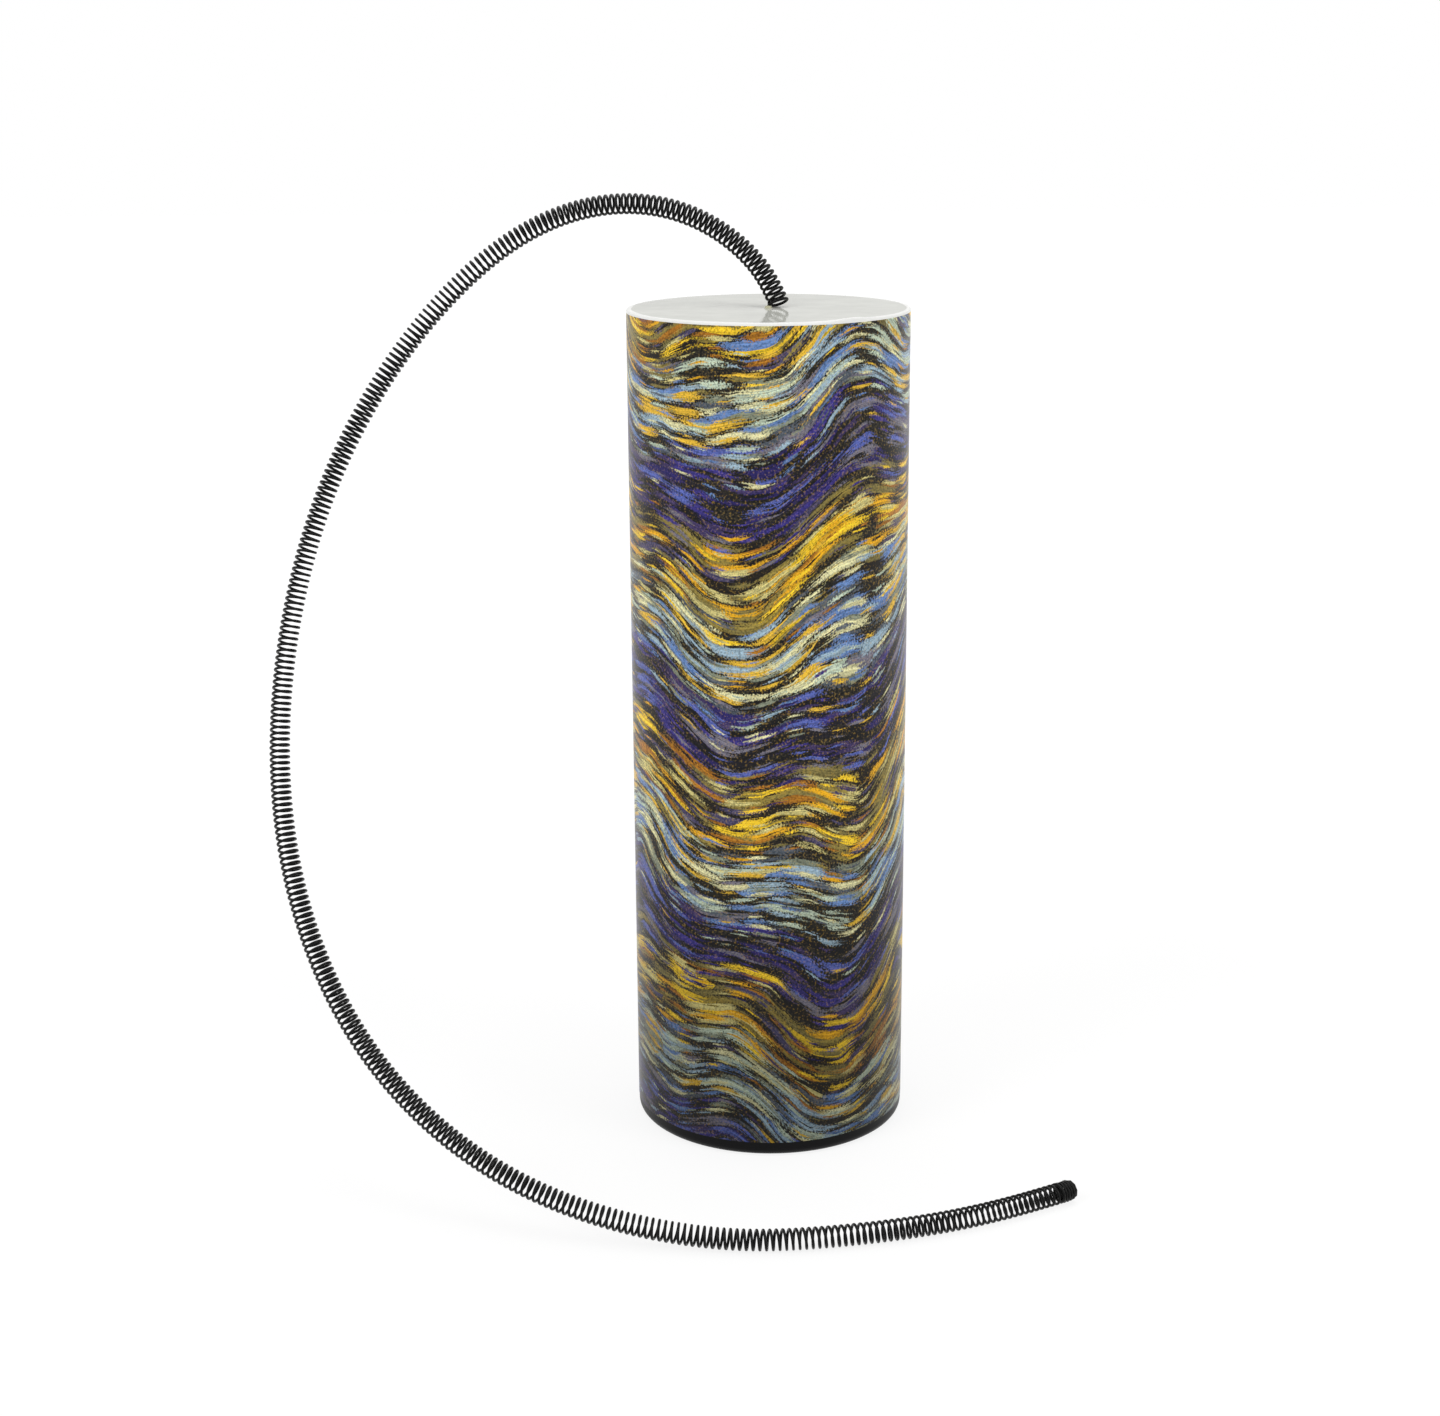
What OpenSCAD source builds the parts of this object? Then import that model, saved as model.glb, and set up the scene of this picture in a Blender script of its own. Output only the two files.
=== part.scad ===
// Thunder tube: a fibreboard tube with a drumhead, and a long steel spring that hangs from the
// middle of the head. Millimetres, +Z up towards the head. The origin is the middle of the face
// that the tube stands on, and the front is -Y.

/* [Tube] */
// Height from the standing face to the top of the head
tube_height = 178; // [120:1:260]
// Diameter over the printed wrap
tube_diameter = 59; // [44:0.5:90]
// Wall of the fibreboard shell
shell_wall = 2.5; // [1.5:0.1:4]
// Thickness of the printed wrap
wrap_thickness = 0.25; // [0.15:0.05:0.5]
// Open butt seam of the wrap, at the back
seam_width = 0.4; // [0.2:0.1:1]

/* [Head] */
// Thickness of the drumhead film
film_thickness = 0.25; // [0.15:0.05:0.4]
// Height of the film's bright bend above the wrap
bend_height = 0.6; // [0.45:0.05:1]
// Depth of the film's skirt below the bend
skirt_depth = 8; // [4:0.5:15]
// Thickness of the glue inside the skirt
glue_thickness = 0.15; // [0.05:0.05:0.3]
// Diameter of the stop washer under the film
washer_diameter = 9; // [6:0.5:14]
// Thickness of the stop washer
washer_thickness = 0.6; // [0.3:0.1:1.5]
// Diameter of the glue bead round the wire, on the film
bead_diameter = 1.8; // [1.4:0.1:3]
// Height of the glue bead
bead_height = 0.4; // [0.2:0.05:0.6]

/* [End ring] */
// Visible height of the black ring that the tube stands on
ring_height = 3.2; // [2.5:0.1:6]
// Rounding of the ring's outer foot
ring_foot_radius = 1.8; // [0.5:0.1:2.2]
// How far the ring stands back from the wrap
ring_inset = 0.1; // [0:0.05:0.5]
// Height of the ring's lip inside the shell
lip_height = 8; // [4:0.5:15]
// Wall of the ring's lip
lip_wall = 1; // [0.8:0.1:2]

/* [Spring] */
// Outer diameter of the spring
spring_diameter = 4.5; // [3.5:0.1:6]
// Diameter of the spring's wire
wire_diameter = 0.6; // [0.4:0.05:0.7]
// Spacing of the curls along the spring
curl_spacing = 5.3; // [4.5:0.1:9]
// Retaining turns of the wire, under the washer
anchor_turns = 2.25; // [1.25:0.25:4]
// Spacing of the retaining turns
anchor_spacing = 1.15; // [1.15:0.05:2]
// How far the spring's route bows out beyond the tube's side
reach_beyond_tube = 78.5; // [60:0.5:120]
// How far the spring's route lies beyond the tube's front
front_beyond_tube = 42.5; // [30:0.5:80]
// Height of the first curl's middle above the head
foot_rise = 1; // [0.8:0.1:3]

/* [Hidden] */
$fn = 96;

// Clearances, and the one overrun of every cut
overrun = 1;
rebate_clearance = 0.3;
lip_clearance = 0.05;
wire_clearance = 0.1;
section_gap = 0.3;
floor_clearance = 0.05;

// Radii of the tube, from the wrap inwards
outer_r = tube_diameter / 2;
shell_r = outer_r - wrap_thickness;
bore_r = shell_r - shell_wall;
skirt_inner_r = shell_r - film_thickness;
rebate_r = skirt_inner_r - glue_thickness;
ring_r = outer_r - ring_inset;
lip_r = bore_r - lip_clearance;
lip_bore_r = lip_r - lip_wall;

// Levels of the tube, from the head down
film_bottom = tube_height - film_thickness;
wrap_top = tube_height - bend_height;
skirt_bottom = wrap_top - skirt_depth;
washer_bottom = film_bottom - washer_thickness;
lip_top = ring_height + lip_height;

// Rounding of the head's bend and of the ring's inner edge, as shares of the piece that has them
bend_round_share = 0.8;
inner_edge_share = 0.6;
bend_radius = bend_height * bend_round_share;
inner_edge_radius = lip_wall * inner_edge_share;
arc_steps = 6;

// Spring's wire
wire_r = wire_diameter / 2;
wire_hole_r = wire_r + wire_clearance;
coil_r = spring_diameter / 2 - wire_r;
run_level = spring_diameter / 2 + floor_clearance;
reach = outer_r + reach_beyond_tube;
front = outer_r + front_beyond_tube;
stub_top = tube_height + bead_height + wire_r;
stub_bottom = washer_bottom - wire_clearance;
foot_angle = 10;
wire_sides = 6;
rings_per_curl = 8;
ring_step = 360 / rings_per_curl;

// The spring's route, as control points of one smooth curve: shares of the reach to the left, of
// the reach to the front, and of the rise from the run on the table to the head
route_shares = [
    [-0.02, 0.08, 1.06],
    [-0.20, 0.20, 1.13],
    [-0.50, 0.35, 1.10],
    [-0.82, 0.35, 0.89],
    [-0.98, 0.15, 0.64],
    [-0.99, -0.20, 0.36],
    [-0.80, -0.58, 0.14],
    [-0.48, -0.88, 0.03],
    [-0.15, -1.00, 0],
    [0.05, -1.00, 0],
    [0.35, -0.90, 0],
    [0.59, -0.68, 0]
];
// Where one section of the spring ends and the next begins, as shares of its length
cut_shares = [0, 0.018, 0.05, 0.095, 0.15, 0.22, 0.31, 0.42, 0.52, 0.61, 0.70, 0.79, 0.885, 1];
sections = len(cut_shares) - 1;
samples_per_span = 40;

function unit(v) = v / norm(v);
function across(v, axis) = unit(v - (v * axis) * axis);

// The route: a uniform cubic curve through the control points' hull, sampled evenly
foot = [coil_r * cos(foot_angle), coil_r * sin(foot_angle), tube_height + foot_rise];
control = concat(
    [foot],
    [for (p = route_shares) [p[0] * reach, p[1] * front, run_level + p[2] * (tube_height - run_level)]]
);
spans = len(control) - 1;
route_ends = [2 * control[0] - control[1], 2 * control[spans] - control[spans - 1]];
guides = concat([route_ends[0]], control, [route_ends[1]]);

function curve_point(i, t) =
    (pow(1 - t, 3) * guides[i]
        + (3 * pow(t, 3) - 6 * pow(t, 2) + 4) * guides[i + 1]
        + (-3 * pow(t, 3) + 3 * pow(t, 2) + 3 * t + 1) * guides[i + 2]
        + pow(t, 3) * guides[i + 3]) / 6;
function sample(k) =
    let (i = min(floor(k / samples_per_span), spans - 1))
    curve_point(i, k / samples_per_span - i);

route = [for (k = [0:spans * samples_per_span]) sample(k)];
travelled = [
    for (k = 0, s = 0; k < len(route); s = s + norm(route[min(k + 1, len(route) - 1)] - route[k]), k = k + 1) s
];
spring_length = travelled[len(travelled) - 1];
route_axes = [for (a = [0:2]) [for (k = [0:len(route) - 1]) [travelled[k], route[k][a]]]];

function middle_at(s) = [for (a = [0:2]) lookup(s, route_axes[a])];
function heading_at(s) =
    let (reach_s = spring_length / len(route))
    unit(middle_at(min(s + reach_s, spring_length)) - middle_at(max(s - reach_s, 0)));

// Two directions square to the spring's heading, and a point of the wire's middle on the coil
function side_at(s) = unit(cross(heading_at(s), [0, 1, 0]));
function rise_at(s) = cross(side_at(s), heading_at(s));
function wire_at(s, turn) = middle_at(s) + coil_r * (cos(turn) * rise_at(s) + sin(turn) * side_at(s));
function turn_towards(s, v) = atan2(v * side_at(s), v * rise_at(s));

// Sections of the spring. Each turns about the one before it, until all of them point along +Z.
function cut_at(k) = cut_shares[k] * spring_length;
function facing(k) = k == 0 ? [0, 0, 1] : heading_at((cut_at(k) + cut_at(k + 1)) / 2);
function hinge_axis(k) = unit(cross(facing(k), facing(k - 1)));
function hinge_angle(k) = acos(facing(k) * facing(k - 1));
function first_turn(k) = k == 0 ? turn_towards(0, -foot) : turn_towards(cut_at(k), hinge_axis(k));
function turned(k) =
    let (curls = (cut_at(k + 1) - cut_at(k)) / curl_spacing)
    k == sections - 1
        ? 360 * curls
        : let (rest = first_turn(k + 1) - first_turn(k)) rest + 360 * round(curls - rest / 360);
function wire_steps(k) = round(turned(k) / ring_step);
function section_point(k, i) =
    let (share = i / wire_steps(k))
    wire_at(cut_at(k) + share * (cut_at(k + 1) - cut_at(k)), first_turn(k) + share * turned(k));

// The wire runs straight for its own diameter on each side of a cut
function cut_heading(k) =
    across(wire_at(cut_at(k), first_turn(k) + 1) - wire_at(cut_at(k), first_turn(k) - 1)
        + (curl_spacing / 180) * heading_at(cut_at(k)), hinge_axis(k));
function straight_end(k, side) =
    let (at = wire_at(cut_at(k), first_turn(k)), v = side * cut_heading(k))
    [at + v * section_gap / 2, at + v * (section_gap / 2 + wire_diameter)];

// Under the washer the wire winds back as retaining turns, then rises through the head's middle
anchor_steps = anchor_turns * rings_per_curl;
function anchor_point(i) =
    let (turn = foot_angle + 180 - i * ring_step)
    [foot[0] + coil_r * cos(turn), foot[1] + coil_r * sin(turn),
        stub_bottom - wire_diameter - anchor_spacing * i / rings_per_curl];
anchor_wire = concat(
    [2 * anchor_point(anchor_steps) - anchor_point(anchor_steps - wire_diameter / coil_r)],
    [for (i = [anchor_steps:-1:1]) anchor_point(i)],
    [[0, 0, stub_bottom - wire_r], [0, 0, stub_bottom + wire_r], [0, 0, stub_top]]
);

function wire_path(k) =
    let (
        last = wire_steps(k),
        start = k == 0 ? anchor_wire : straight_end(k, 1),
        end = k == sections - 1
            ? [section_point(k, last), section_point(k, last) + wire_diameter
                * unit(section_point(k, last) - section_point(k, last - 1))]
            : let (e = straight_end(k + 1, -1)) [e[1], e[0]]
    )
    concat(start, [for (i = [1:last - 1]) section_point(k, i)], end);

// The least gap from one stretch of wire to another of the same section, over half a curl away
function least_gap(path) =
    min([
        for (i = [0:len(path) - 1])
            for (j = [i + rings_per_curl / 2 + 1:1:len(path) - 1]) norm(path[i] - path[j])
    ]) - wire_diameter;
echo(least_gap_mm = min([for (k = [0:sections - 1]) least_gap(wire_path(k))]));
echo(spring_length_mm = spring_length);
for (k = [1:sections - 1])
    echo(hinge = k + 1, at = middle_at(cut_at(k)), axis = hinge_axis(k), angle = hinge_angle(k));

// A round wire of six sides along a path, one tube with flat ends
function headings(path) = [
    for (i = [0:len(path) - 1]) unit(path[min(i + 1, len(path) - 1)] - path[max(i - 1, 0)])
];
module wire(path) {
    along = headings(path);
    first = across([0.3, 0.5, 0.8], along[0]);
    ups = [
        for (i = 0, u = first; i < len(path); i = i + 1, u = i < len(path) ? across(u, along[i]) : u) u
    ];
    points = [
        for (i = [0:len(path) - 1])
            for (j = [0:wire_sides - 1])
                path[i] + wire_r * (cos(360 * j / wire_sides) * ups[i]
                    + sin(360 * j / wire_sides) * cross(along[i], ups[i]))
    ];
    function corner(i, j) = i * wire_sides + j % wire_sides;
    sides = [
        for (i = [0:len(path) - 2])
            for (j = [0:wire_sides - 1])
                for (half = [0:1])
                    half == 0
                        ? [corner(i, j), corner(i + 1, j), corner(i + 1, j + 1)]
                        : [corner(i, j), corner(i + 1, j + 1), corner(i, j + 1)]
    ];
    ends = [
        for (j = [1:wire_sides - 2])
            for (half = [0:1])
                half == 0
                    ? [corner(0, 0), corner(0, j), corner(0, j + 1)]
                    : [corner(len(path) - 1, 0), corner(len(path) - 1, j + 1), corner(len(path) - 1, j)]
    ];
    polyhedron(points = points, faces = concat(sides, ends), convexity = 10);
}

// Points of an arc of an outline, from one angle to another
function arc(centre, r, from, to) = [
    for (i = [0:arc_steps]) let (a = from + (to - from) * i / arc_steps) centre + r * [cos(a), sin(a)]
];

module pipe(r, inner_r, low, high) {
    translate([0, 0, low])
        difference() {
            cylinder(r = r, h = high - low);
            translate([0, 0, -overrun])
                cylinder(r = inner_r, h = high - low + 2 * overrun);
        }
}

module shell_tube() {
    color("#b79a6b")
        difference() {
            pipe(shell_r, bore_r, ring_height, film_bottom);
            pipe(shell_r + overrun, rebate_r, skirt_bottom - rebate_clearance, film_bottom + overrun);
        }
}

module printed_wrap() {
    color("#26346e")
        difference() {
            pipe(outer_r, shell_r, ring_height, wrap_top);
            translate([-seam_width / 2, 0, ring_height - overrun])
                cube([seam_width, outer_r + overrun, wrap_top - ring_height + 2 * overrun]);
        }
}

module drumhead() {
    outline = concat(
        [[wire_hole_r, film_bottom], [wire_hole_r, tube_height]],
        arc([outer_r - bend_radius, tube_height - bend_radius], bend_radius, 90, 0),
        [[outer_r, wrap_top], [shell_r, wrap_top], [shell_r, skirt_bottom]],
        [[skirt_inner_r, skirt_bottom], [skirt_inner_r, film_bottom]]
    );
    color("#dcdcdc")
        rotate_extrude()
            polygon(outline);
}

module head_glue() {
    color("#e6dfb8")
        pipe(skirt_inner_r, rebate_r, skirt_bottom, film_bottom);
}

module end_ring() {
    foot_r = ring_foot_radius;
    outline = concat(
        arc([lip_bore_r + inner_edge_radius, inner_edge_radius], inner_edge_radius, 180, 270),
        arc([ring_r - foot_r, foot_r], foot_r, 270, 360),
        [[ring_r, ring_height], [lip_r, ring_height], [lip_r, lip_top], [lip_bore_r, lip_top]]
    );
    color("#18181a")
        rotate_extrude()
            polygon(outline);
}

module stop_washer() {
    color("#c9c7bd")
        pipe(washer_diameter / 2, wire_hole_r, washer_bottom, film_bottom);
}

module glue_bead() {
    bead_r = bead_diameter / 2;
    width = bead_r - wire_hole_r;
    outline = concat(
        [[wire_hole_r, tube_height]],
        [for (i = [0:arc_steps]) [wire_hole_r + width * cos(90 * i / arc_steps),
            tube_height + bead_height * sin(90 * i / arc_steps)]]
    );
    color("#d8d6a4")
        rotate_extrude()
            polygon(outline);
}

module spring_section(number) {
    color("#26272b")
        wire(wire_path(number - 1));
}

shell_tube();
printed_wrap();
drumhead();
head_glue();
end_ring();
stop_washer();
glue_bead();
spring_section(1);  // spring_section_01
spring_section(2);  // spring_section_02
spring_section(3);  // spring_section_03
spring_section(4);  // spring_section_04
spring_section(5);  // spring_section_05
spring_section(6);  // spring_section_06
spring_section(7);  // spring_section_07
spring_section(8);  // spring_section_08
spring_section(9);  // spring_section_09
spring_section(10);  // spring_section_10
spring_section(11);  // spring_section_11
spring_section(12);  // spring_section_12
spring_section(13);  // spring_section_13
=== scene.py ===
"""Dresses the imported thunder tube: its print, film, ring and board, and the spring's full wire."""

import logging
import math
from collections.abc import Callable
from dataclasses import dataclass, field
from enum import Enum

import bmesh
import bpy
import numpy as np
from bpy.types import ID, Material, Node, NodeOutputs, NodeSocket, NodeTree, Object
from mathutils import Matrix, Vector


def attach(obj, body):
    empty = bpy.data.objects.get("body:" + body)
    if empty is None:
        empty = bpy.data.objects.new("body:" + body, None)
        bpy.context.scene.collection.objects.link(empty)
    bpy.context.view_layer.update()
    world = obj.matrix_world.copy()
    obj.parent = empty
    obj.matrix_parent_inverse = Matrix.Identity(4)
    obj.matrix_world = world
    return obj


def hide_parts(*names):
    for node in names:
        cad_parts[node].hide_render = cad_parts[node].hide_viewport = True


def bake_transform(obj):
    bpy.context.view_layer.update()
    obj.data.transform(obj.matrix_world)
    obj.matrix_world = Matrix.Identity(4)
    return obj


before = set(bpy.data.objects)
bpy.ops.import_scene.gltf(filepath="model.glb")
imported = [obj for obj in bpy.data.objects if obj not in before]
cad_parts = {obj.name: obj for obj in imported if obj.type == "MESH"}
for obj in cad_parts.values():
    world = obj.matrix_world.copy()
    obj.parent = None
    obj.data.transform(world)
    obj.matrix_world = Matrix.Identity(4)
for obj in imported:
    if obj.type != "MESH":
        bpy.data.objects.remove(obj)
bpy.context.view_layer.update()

LOG = logging.getLogger("thunder_tube")
MM = 0.001
FULL_TURN = 2 * math.pi
# Corners closer together than this, in metres, are one corner
SAME_CORNER = 1e-7
# Nearly all of a noise texture's values lie between these two
NOISE_SPAN = (0.3, 0.7)
# The nodes that come up most
MATH, VECTOR_MATH = "ShaderNodeMath", "ShaderNodeVectorMath"
NOISE, MAP_RANGE = "ShaderNodeTexNoise", "ShaderNodeMapRange"


def linear(hex_colour: str) -> tuple[float, float, float, float]:
    """Turns an sRGB hex colour into the linear values that the shaders take.

    Args:
        hex_colour: A colour such as "#d8d6a4".

    Returns:
        Linear red, green and blue, and an alpha of 1.
    """
    parts = [int(hex_colour[i:i + 2], 16) / 255 for i in (1, 3, 5)]
    lin = [c / 12.92 if c <= 0.04045 else ((c + 0.055) / 1.055) ** 2.4 for c in parts]
    return (lin[0], lin[1], lin[2], 1.0)


def add_node(tree: NodeTree, kind: str, inputs: dict | list | None = None, **settings: object) -> Node:
    """Adds one node with its settings, and fills or links its inputs.

    Args:
        tree: The tree that the node goes into.
        kind: The node's type name.
        inputs: A value for each input name or number, or a list of values from the first input on. A value
            can also be the socket that feeds the input, or a node whose first output does.
        **settings: The node's own properties.

    Returns:
        The new node.
    """
    node = tree.nodes.new(kind)
    for name, value in settings.items():
        setattr(node, name, value)
    for key, value in enumerate(inputs) if isinstance(inputs, list) else (inputs or {}).items():
        source = value.outputs[0] if isinstance(value, Node) else value
        if isinstance(source, NodeSocket):
            tree.links.new(source, node.inputs[key])
        else:
            node.inputs[key].default_value = source
    return node


def new_material(name: str) -> tuple[Material, NodeTree]:
    """Makes a material whose node tree is still empty.

    Args:
        name: The material's name.

    Returns:
        The material and its tree.
    """
    material = bpy.data.materials.new(name)
    material.use_nodes = True
    material.node_tree.nodes.clear()
    return material, material.node_tree


def set_stops(ramp: Node, stops: list[tuple[float, str]], constant: bool = False) -> None:
    """Fills a colour ramp.

    Args:
        ramp: The colour ramp's node.
        stops: Places from 0 to 1, with a hex colour each.
        constant: True for bands with hard edges.
    """
    ramp.color_ramp.interpolation = "CONSTANT" if constant else "LINEAR"
    elements = ramp.color_ramp.elements
    while len(elements) < len(stops):
        elements.new(1.0)
    for element, (place, colour) in zip(elements, stops):
        element.position = place
        element.color = linear(colour)


def add_object(name: str, data: ID) -> Object:
    """Makes an object at the origin and links it to the scene.

    Args:
        name: The object's name.
        data: Its mesh, lamp or camera.

    Returns:
        The new object.
    """
    made = bpy.data.objects.new(name, data)
    bpy.context.scene.collection.objects.link(made)
    return made


def finished_mesh(name: str, vertices: np.ndarray, faces: list[tuple[int, ...]]) -> Object:
    """Makes a smooth mesh object at the origin, with its faces turned outwards.

    Args:
        name: The piece's name.
        vertices: Points in metres.
        faces: Corners of each face.

    Returns:
        The new object, linked to the scene.
    """
    mesh = bpy.data.meshes.new(name)
    mesh.from_pydata([tuple(v) for v in vertices], [], faces)
    work = bmesh.new()
    work.from_mesh(mesh)
    bmesh.ops.remove_doubles(work, verts=work.verts, dist=SAME_CORNER)
    bmesh.ops.recalc_face_normals(work, faces=work.faces)
    work.to_mesh(mesh)
    work.free()
    mesh.shade_smooth()
    return add_object(name, mesh)


def closed_row(rings: int, sides: int) -> list[tuple[int, ...]]:
    """Lists the faces of a row of rings that is closed at both ends.

    Args:
        rings: How many rings there are.
        sides: Corners on each ring.

    Returns:
        The corners of each face.
    """
    faces = []
    for i in range(rings - 1):
        for j in range(sides):
            k = (j + 1) % sides
            faces.append((i * sides + j, i * sides + k, (i + 1) * sides + k, (i + 1) * sides + j))
    return faces + [tuple(i * sides + j for j in range(sides)) for i in (0, rings - 1)]


def turned_mesh(name: str, outline: list[tuple[float, float]], steps: int,
                lift: Callable[[float, float, float], float]) -> Object:
    """Turns a closed outline about the tube's axis.

    Args:
        name: The piece's name.
        outline: Radius and height of each corner in millimetres, in order round the section.
        steps: Places round the axis.
        lift: A rise in millimetres at a radius, height and angle.

    Returns:
        The new object.
    """
    points, faces, count = [], [], len(outline)
    for i in range(steps):
        a = FULL_TURN * i / steps
        points += [(r * math.cos(a) * MM, r * math.sin(a) * MM, (z + lift(r, z, a)) * MM) for r, z in outline]
    for i in range(steps):
        for j in range(count):
            a, b = i * count, (i + 1) % steps * count
            faces.append((a + j, b + j, b + (j + 1) % count, a + (j + 1) % count))
    return finished_mesh(name, np.array(points), faces)


class Body(Enum):
    """The bodies that pieces ride on. Each of the spring's has its number after this name."""

    TUBE = "tube"
    SPRING = "spring_"


@dataclass(frozen=True)
class LaminatedPrint:
    """Offset print on paper under a gloss laminate: flat ink dabs, with a clear sheen towards the edges.

    The print is a generic pattern of its own: short brush dabs that follow rows of low waves, in bands of
    deep blue, pale and gold colours over a dark, speckled ground.
    """

    name: str = "laminated_offset_print"
    radius: float = 29.5
    # A slow swell and a shorter one: times round the tube, height in mm, and lean for each mm up the tube
    swells: tuple[tuple[float, float, float], ...] = ((2.0, 7.5, 0.017), (5.0, 2.6, -0.029))
    # A hand's wander, 30 mm long, and its small wobble, 6 mm long: waves in a metre, and height in mm
    wanders: tuple[tuple[float, float], ...] = ((33.0, 13.0), (160.0, 1.6))
    band_height: float = 17.0
    # One family of eight inks for each kind of band
    families: tuple[tuple[str, ...], ...] = (
        ("#141214", "#292360", "#1c1a20", "#3a3380", "#403560", "#111112", "#5563ac", "#726f7c"),
        ("#1f1d16", "#97b0bf", "#b9c8b2", "#525a64", "#6282b6", "#dcd8a6", "#828976", "#deb338"),
        ("#1e1912", "#e2a81c", "#7c7140", "#8c7c3c", "#f2c92c", "#a86e1f", "#cdc27e", "#4a4564"),
    )
    # Each layer: dab length, width, cover, how far a dab strays from its band (mm), and its own shift
    layers: tuple[tuple[float, float, float, float, float], ...] = (
        (16.0, 2.8, 0.98, 6.0, 3.7), (13.0, 2.2, 0.88, 8.0, 17.3), (10.0, 1.7, 0.80, 11.0, 41.9),
        (8.0, 1.3, 0.70, 16.0, 77.1),
    )
    # Bristle streaks, 0.3 mm apart, run along each dab, and the canvas breaks its edge every 0.4 mm
    bristles_per_mm: float = 3.2
    threads_per_mm: float = 2.5
    # What the bristles and the threads wear off a dab's edge, and how soft it is, as shares of the dab's size
    bristle_wear_share: float = 0.7
    thread_wear_share: float = 0.5
    soft_edge_share: float = 0.12
    streak_levels: tuple[float, float] = (0.75, 1.55)
    # The canvas, 0.45 mm apart, lightens the dark ground in specks
    canvas_per_metre: float = 2200.0
    ground: tuple[str, str] = ("#121110", "#3a3529")
    ground_span: tuple[float, float] = (0.35, 0.62)
    speck: str = "#a8842f"
    speck_span: tuple[float, float] = (0.59, 0.68)
    speck_cover: float = 0.4
    weave_span: tuple[float, float] = (0.3, 0.55)
    weave_levels: tuple[float, float] = (0.55, 1.1)
    # Below one height the inks are at their deepest, above the other at their full strength
    depth_heights: tuple[float, float] = (22.0, 72.0)
    depth_levels: tuple[float, float] = (0.5, 1.1)
    # The laminate's faint ripple, 4 mm long, a fiftieth of a millimetre deep
    ripple_length: float = 4.0
    ripple_depth: float = 0.02
    ripple_strength: float = 0.25
    roughness: float = 0.32
    specular: float = 0.08
    coat: float = 0.15
    coat_roughness: float = 0.2

    def dab_colour(self, tree: NodeTree, cell: Node, given: NodeOutputs, streak: Node) -> NodeSocket:
        """Picks a dab's ink: the family of the band that its middle lies in, and one of its inks by chance.

        Args:
            tree: The dabs' node group.
            cell: The Voronoi node, one cell for each dab.
            given: The group's inputs.
            streak: The noise of the bristle streaks.

        Returns:
            The socket with the colour.
        """
        chance = add_node(tree, "ShaderNodeSeparateColor", [cell.outputs["Color"]]).outputs
        middle = add_node(tree, "ShaderNodeSeparateXYZ", [cell.outputs["Position"]]).outputs[1]
        middle = add_node(tree, MATH, [middle, given["Shift"]], operation="SUBTRACT")
        middle_mm = add_node(tree, MATH, [middle, given["Width"]], operation="MULTIPLY")
        stray = add_node(tree, MATH, [chance[1], given["Stray"], middle_mm], operation="MULTIPLY_ADD")
        band = add_node(tree, MATH, [stray, self.band_height], operation="DIVIDE")
        kinds = float(len(self.families))
        wrapped = add_node(tree, MATH, [band, 0.0, kinds], operation="WRAP")
        family = add_node(tree, MATH, [wrapped], operation="FLOOR")
        ink = add_node(tree, MATH, [family, chance[0]], operation="ADD")
        place = add_node(tree, MATH, [ink, kinds], operation="DIVIDE")
        palette = add_node(tree, "ShaderNodeValToRGB", [place])
        inks = [colour for colours in self.families for colour in colours]
        set_stops(palette, [(i / len(inks), colour) for i, colour in enumerate(inks)], constant=True)
        level = add_node(tree, MAP_RANGE, [streak, *NOISE_SPAN, *self.streak_levels])
        streaked = add_node(tree, "ShaderNodeMix", {"Factor": 1.0, "A": palette, "B": level},
                            data_type="RGBA", blend_type="MULTIPLY")
        return streaked.outputs["Result"]

    def dab_group(self) -> NodeTree:
        """Makes the node group that lays one layer of brush dabs over what is below.

        Returns:
            The group: millimetres along and across the waves in, the new colour out.
        """
        tree = bpy.data.node_groups.new("Brush dabs", "ShaderNodeTree")
        for label in ("Along", "Across", "Length", "Width", "Cover", "Stray", "Shift"):
            tree.interface.new_socket(label, in_out="INPUT", socket_type="NodeSocketFloat")
        tree.interface.new_socket("Below", in_out="INPUT", socket_type="NodeSocketColor")
        tree.interface.new_socket("Colour", in_out="OUTPUT", socket_type="NodeSocketColor")
        given = add_node(tree, "NodeGroupInput").outputs
        steps = []
        for way, size in (("Along", "Length"), ("Across", "Width")):
            scaled = add_node(tree, MATH, [given[way], given[size]], operation="DIVIDE")
            steps.append(add_node(tree, MATH, [scaled, given["Shift"]], operation="ADD"))
        place = add_node(tree, "ShaderNodeCombineXYZ", steps)
        cell = add_node(tree, "ShaderNodeTexVoronoi", {"Vector": place, "Scale": 1.0, "Randomness": 0.95},
                        voronoi_dimensions="2D", feature="F1")
        bristles = add_node(tree, MATH, [given["Across"], self.bristles_per_mm], operation="MULTIPLY")
        streak_place = add_node(tree, "ShaderNodeCombineXYZ", [steps[0], bristles])
        streak = add_node(tree, NOISE, {"Vector": streak_place, "Scale": 1.0, "Detail": 2.0},
                          noise_dimensions="2D")
        flat = add_node(tree, "ShaderNodeCombineXYZ", [given["Along"], given["Across"]])
        threads = {"Vector": flat, "Scale": self.threads_per_mm, "Detail": 1.0}
        canvas = add_node(tree, NOISE, threads, noise_dimensions="2D")
        worn = add_node(tree, MATH, [streak, self.bristle_wear_share, cell.outputs["Distance"]],
                        operation="MULTIPLY_ADD")
        frayed = add_node(tree, MATH, [canvas, self.thread_wear_share, worn], operation="MULTIPLY_ADD")
        soft_edge = add_node(tree, MATH, [given["Cover"], self.soft_edge_share], operation="ADD")
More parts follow.
